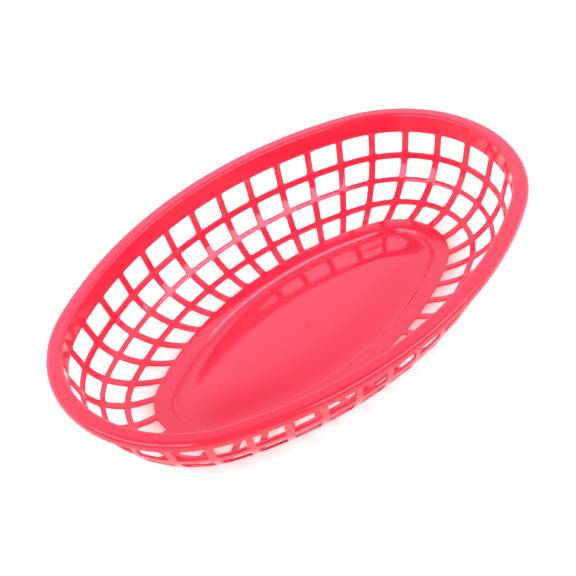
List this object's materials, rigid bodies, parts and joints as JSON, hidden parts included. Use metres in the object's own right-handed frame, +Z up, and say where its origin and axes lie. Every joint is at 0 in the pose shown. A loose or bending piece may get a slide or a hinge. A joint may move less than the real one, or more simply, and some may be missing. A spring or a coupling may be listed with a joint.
{
  "type": "fast food basket",
  "caption": "Shallow oval serving basket moulded in one piece, with a bowl-shaped lattice wall, a flat rim with rounded edges and a solid, slightly crowned floor that sits one small step below a ledge.",
  "frame": {"origin": "on the table, under the middle of the basket", "axes": "X along the basket's length, Y across it, Z up"},
  "size_m": [0.238, 0.154, 0.042],
  "materials": {
    "red_plastic": "glossy coral red moulded plastic"
  },
  "bodies": {
    "root": {"basket": "red_plastic"}
  },
  "joints": []
}
